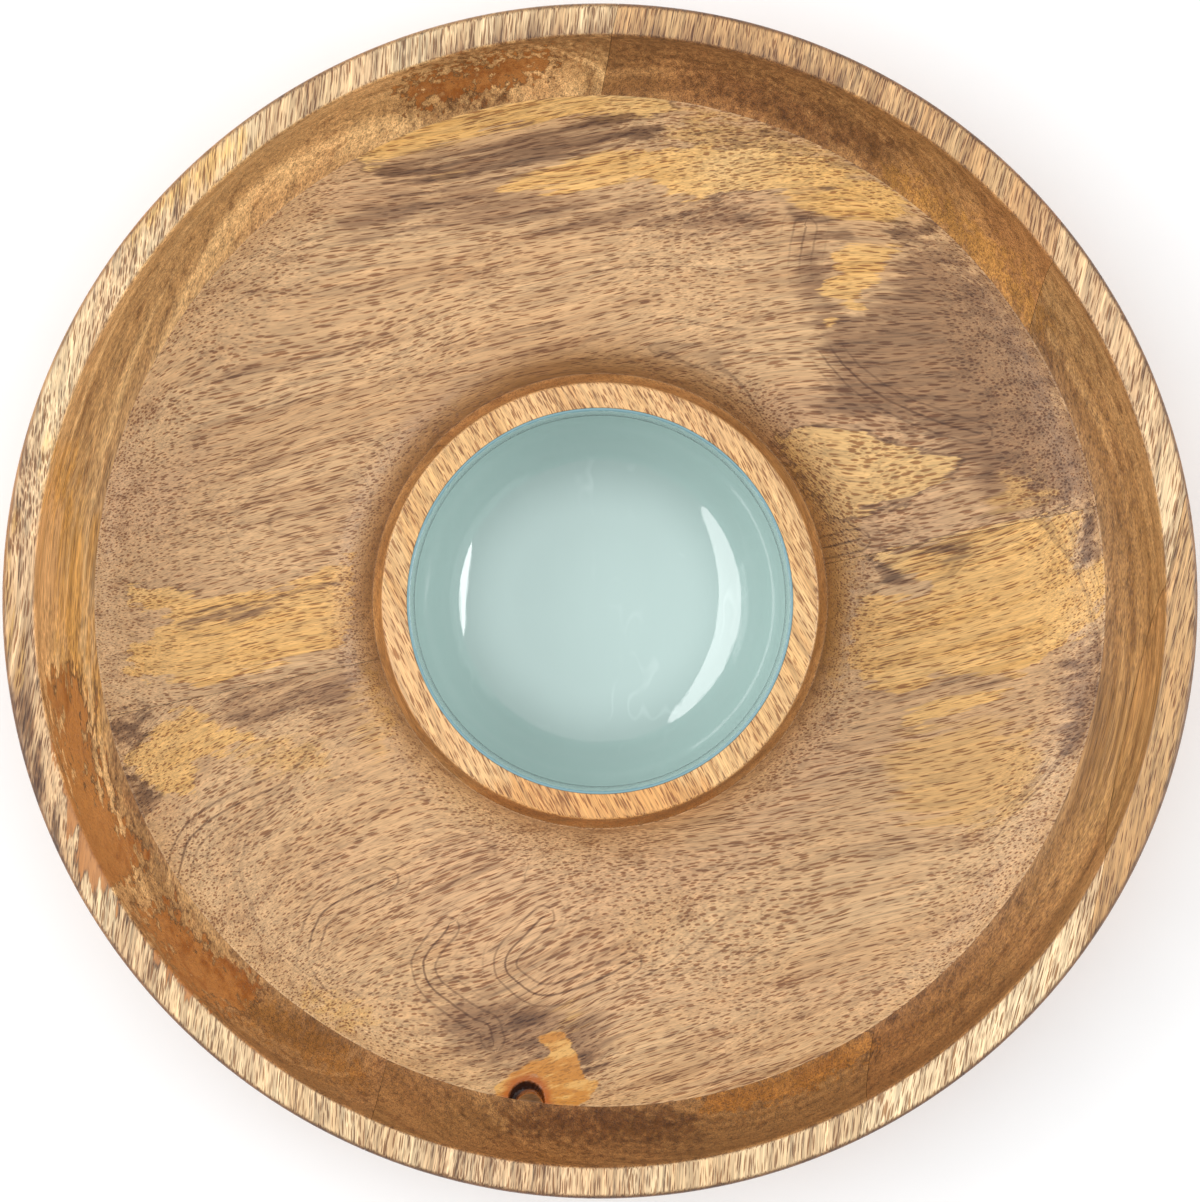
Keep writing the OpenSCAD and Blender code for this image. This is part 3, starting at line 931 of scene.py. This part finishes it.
enamelGrid, enamelQuads = lathe(enamelProfile(), ringAngles, False)
settle(shell(enamelGrid, enamelQuads), "enamel_lining_poured", "enamel_lining",
       enamelFinish("aqua_enamel", enamelLook))


def floorFinish():
    f = Finish("studio_floor")
    place = f.add("TexCoord", out=3)
    grainy = f.noise(place, 60.0, 2.0, 0.5)
    colour = f.mix((0.93, 0.93, 0.93), (0.91, 0.91, 0.91), grainy)
    return f.finishWith(f.add("BsdfPrincipled", {}, {"Base Color": colour, "Roughness": 0.9}))


# the studio floor lies just under the dish, so that the two faces don't share a plane
floorDrop = 0.2
bpy.ops.mesh.primitive_plane_add(size=8, location=(0, 0, -floorDrop * mm))
floor = bpy.context.object
floor.name = "studio_floor"
floor.data.materials.append(floorFinish())


# a flat oval of light with the given radiance, facing the dish
def softbox(name, azimuth, height, away, size, radiance):
    light = bpy.data.lights.new(name, "AREA")
    light.shape, light.size, light.size_y = "ELLIPSE", size[0], size[1]
    area = size[0] * size[1] * math.pi / 4
    light.energy = radiance * math.pi * area
    lamp = bpy.data.objects.new(name, light)
    bpy.context.scene.collection.objects.link(lamp)
    turn = math.radians(azimuth)
    lamp.location = (away * math.cos(turn), away * math.sin(turn), height)
    lamp.rotation_euler = (-lamp.location).to_track_quat("-Z", "Y").to_euler()


softbox("left_window", 171, 0.76, 1.2, (3.0, 0.8), 2.6)
softbox("right_window", -5, 0.43, 1.3, (0.95, 0.56), 5.0)

# the sky of the studio: brighter overhead, a little brighter to the right and the back
world = bpy.data.worlds.new("studio")
world.use_nodes = True
sky = world.node_tree
upward = sky.nodes.new("ShaderNodeTexCoord")
slope = sky.nodes.new("ShaderNodeVectorMath")
slope.operation = "DOT_PRODUCT"
slope.inputs[1].default_value = (0.14, 0.1, 0.86)
sky.links.new(upward.outputs["Generated"], slope.inputs[0])
level = sky.nodes.new("ShaderNodeMath")
level.operation = "ADD"
level.inputs[1].default_value = 0.42
sky.links.new(slope.outputs["Value"], level.inputs[0])
lowest = sky.nodes.new("ShaderNodeMath")
lowest.operation = "MAXIMUM"
lowest.inputs[1].default_value = 0.4  # below the horizon
sky.links.new(level.outputs[0], lowest.inputs[0])
sky.nodes["Background"].inputs[0].default_value = (0.98, 0.99, 1.0, 1)
sky.links.new(lowest.outputs[0], sky.nodes["Background"].inputs[1])
bpy.context.scene.world = world

camera = bpy.data.cameras.new("camera")
eye = bpy.data.objects.new("camera", camera)
bpy.context.scene.collection.objects.link(eye)
bpy.context.scene.camera = eye
cameraHeight = 1.2  # above the rim
frameHeight = 306.27  # millimetres of the rim's plane that the frame takes in, from top to bottom
camera.sensor_fit = "AUTO"
camera.sensor_width = 36
camera.lens = 36 * cameraHeight / (frameHeight * mm)
eye.location = (0, 0, rimTopZ * mm + cameraHeight)
camera.clip_end = 20

bpy.context.scene.view_settings.view_transform = "Standard"
